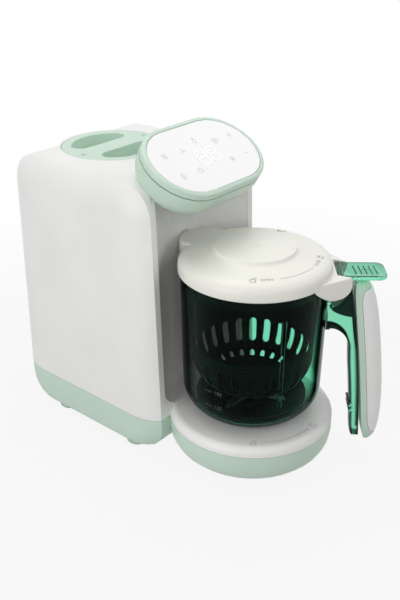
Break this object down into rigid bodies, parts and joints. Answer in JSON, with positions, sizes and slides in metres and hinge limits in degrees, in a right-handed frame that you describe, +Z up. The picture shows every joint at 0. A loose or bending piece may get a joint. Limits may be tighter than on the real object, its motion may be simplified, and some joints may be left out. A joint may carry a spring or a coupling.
{
  "type": "baby food maker",
  "caption": "Free-standing steam and blend machine: tower with tilted touch head and fill lid, and a round tray that docks a clear lidded jug with basket, blade and handle.",
  "frame": {"origin": "middle of the overall box at floor level", "axes": "+Z up, -Y to the front where the jug docks, +X to the right seen from the front"},
  "size_m": [0.1455, 0.3017, 0.269],
  "materials": {
    "white_abs": "smooth white moulding",
    "mint_abs": "satin mint moulding",
    "warm_white_pp": "satin warm white moulding",
    "clear_mint": "clear mint tinted plastic",
    "black_pp": "black moulding",
    "stainless": "brushed",
    "rubber": "moulded rubber",
    "silicone": "soft translucent silicone or PP",
    "circuit_board": "green board",
    "brass": "sintered"
  },
  "bodies": {
    "base": {"base_shell": "mint_abs", "tower_housing": "white_abs", "front_panel": "white_abs", "head_bezel": "mint_abs", "head_lower_shell": "mint_abs", "touch_panel": "white_abs", "display_board": "circuit_board", "digit_module": "black_pp", "water_tank": "silicone", "motor": "stainless", "motor_bracket": "stainless", "shaft_bearing": "brass", "drive_belt": "rubber", "pump": "black_pp", "boiler": "stainless", "feed_hose": "silicone", "delivery_hose": "silicone", "steam_pipe": "silicone", "steam_nozzle": "silicone", "control_board": "circuit_board", "jug_switch": "black_pp", "cord_bush": "rubber", "foot_1": "rubber", "foot_2": "rubber", "foot_3": "rubber", "foot_4": "rubber", "foot_5": "rubber", "foot_6": "rubber", "screw_1": "stainless", "screw_2": "stainless", "screw_3": "stainless", "screw_4": "stainless"},
    "fill_lid": {"tank_lid": "mint_abs", "tank_seal": "silicone"},
    "jug": {"jug_body": "clear_mint", "handle_core": "clear_mint", "handle_cover": "mint_abs", "handle_panel": "white_abs", "blade_base": "black_pp", "steam_basket": "black_pp"},
    "lid": {"jug_lid": "warm_white_pp", "lid_seal": "silicone", "lever_pin": "stainless"},
    "lever": {"lid_lever": "clear_mint"},
    "motor_rotor": {"motor_pulley": "black_pp"},
    "drive": {"driven_pulley": "black_pp", "drive_coupling": "black_pp"},
    "blade": {"blade_shaft": "stainless", "blade_set": "stainless", "blade_nut": "stainless"}
  },
  "joints": [
    {"name": "jug_twist", "type": "hinge", "parent": "base", "child": "jug", "pos_m": [0, -0.0636, 0.0453], "axis": [0, 0, 1], "range_deg": [-51.6, 0]},
    {"name": "lid_twist", "type": "hinge", "parent": "jug", "child": "lid", "pos_m": [0, -0.0636, 0.1726], "axis": [0, 0, 1], "range_deg": [0, 68]},
    {"name": "lever_press", "type": "hinge", "parent": "lid", "child": "lever", "pos_m": [0.04294, -0.11568, 0.1666], "axis": [0.7716, 0.6361, 0], "range_deg": [0, 9.7], "stiffness_Nm_per_rad": 0.3},
    {"name": "fill_lid_lift", "type": "slide", "parent": "base", "child": "fill_lid", "axis": [0, 0, 1], "range_m": [0, 0.03]},
    {"name": "drive_spin", "type": "hinge", "parent": "base", "child": "drive", "pos_m": [0, -0.0636, 0.018], "axis": [0, 0, 1], "continuous": true},
    {"name": "motor_spin", "type": "hinge", "parent": "base", "child": "motor_rotor", "pos_m": [0, 0.0544, 0.018], "axis": [0, 0, 1], "continuous": true},
    {"name": "blade_spin", "type": "hinge", "parent": "jug", "child": "blade", "pos_m": [0, -0.0636, 0.06], "axis": [0, 0, 1], "continuous": true}
  ],
  "couplings": [
    {"joint": "motor_spin", "follows": "drive_spin", "ratio": 2.8182},
    {"joint": "blade_spin", "follows": "drive_spin", "ratio": 1}
  ]
}
